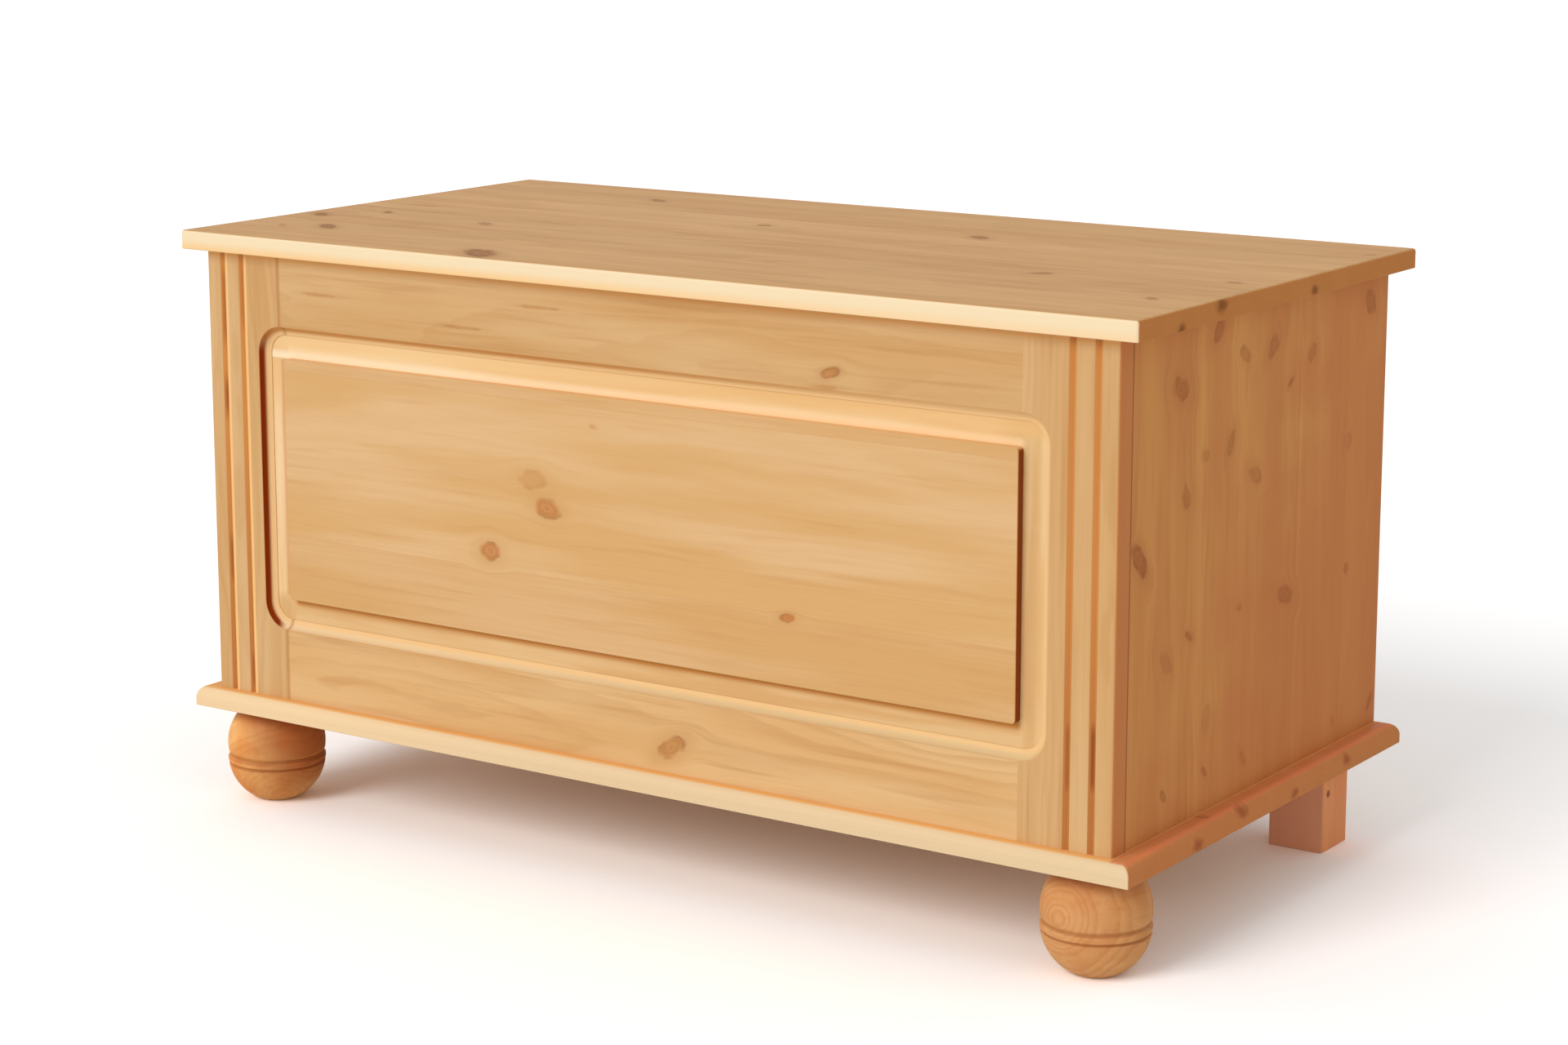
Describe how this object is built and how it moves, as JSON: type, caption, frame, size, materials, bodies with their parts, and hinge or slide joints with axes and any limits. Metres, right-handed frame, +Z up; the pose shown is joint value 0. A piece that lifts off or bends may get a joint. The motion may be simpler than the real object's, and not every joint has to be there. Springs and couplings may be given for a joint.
{
  "type": "storage chest",
  "caption": "Pine storage chest with an overhanging hinged lid, a framed front with a raised panel and fluted stiles, turned ball feet in front and slotted lid stays inside.",
  "frame": {"origin": "on the floor under the middle of the lid", "axes": "+X to the right along the front, +Y from front to back, +Z up"},
  "size_m": [0.85, 0.44, 0.4633],
  "materials": {
    "pine": "clear satin lacquer",
    "turned_pine": "clear lacquer, darkened by end grain",
    "beech": "bare",
    "hinge_brass": "polished",
    "zinc_steel": "bright zinc plated"
  },
  "bodies": {
    "chest": {"base_board": "pine", "front_stile_left": "pine", "front_stile_right": "pine", "front_rail_top": "pine", "front_rail_bottom": "pine", "front_panel": "pine", "end_panel_left": "pine", "end_panel_right": "pine", "back_panel": "pine", "ball_foot_left": "turned_pine", "ball_foot_right": "turned_pine", "back_leg_left": "turned_pine", "back_leg_right": "turned_pine", "frame_dowels": "beech", "front_dowels": "beech", "back_dowels": "beech", "hinge_chest_leaf_left": "hinge_brass", "hinge_chest_leaf_right": "hinge_brass", "hinge_pin_left": "hinge_brass", "hinge_pin_right": "hinge_brass", "hinge_chest_screws": "hinge_brass", "base_screws": "zinc_steel", "foot_screws": "zinc_steel", "leg_screws": "zinc_steel", "stay_guide_screws": "zinc_steel"},
    "lid": {"lid_board": "pine", "lid_batten_left": "pine", "lid_batten_right": "pine", "lid_batten_screws": "zinc_steel", "hinge_lid_leaf_left": "hinge_brass", "hinge_lid_leaf_right": "hinge_brass", "hinge_lid_screws": "hinge_brass", "stay_pivot_screws": "zinc_steel"},
    "stay_left": {"stay_arm_left": "zinc_steel"},
    "stay_right": {"stay_arm_right": "zinc_steel"}
  },
  "joints": [
    {"name": "lid_hinge", "type": "hinge", "parent": "chest", "child": "lid", "pos_m": [0, 0.2143, 0.445], "axis": [-1, 0, 0], "range_deg": [0, 95]},
    {"name": "stay_left_pivot", "type": "hinge", "parent": "lid", "child": "stay_left", "pos_m": [-0.3845, 0.08443, 0.4393], "axis": [1, 0, 0], "range_deg": [0, 47.5]},
    {"name": "stay_right_pivot", "type": "hinge", "parent": "lid", "child": "stay_right", "pos_m": [0.3845, 0.08443, 0.4393], "axis": [1, 0, 0], "range_deg": [0, 47.5]}
  ],
  "couplings": [
    {"joint": "stay_left_pivot", "follows": "lid_hinge", "ratio": 0.5},
    {"joint": "stay_right_pivot", "follows": "lid_hinge", "ratio": 0.5}
  ]
}
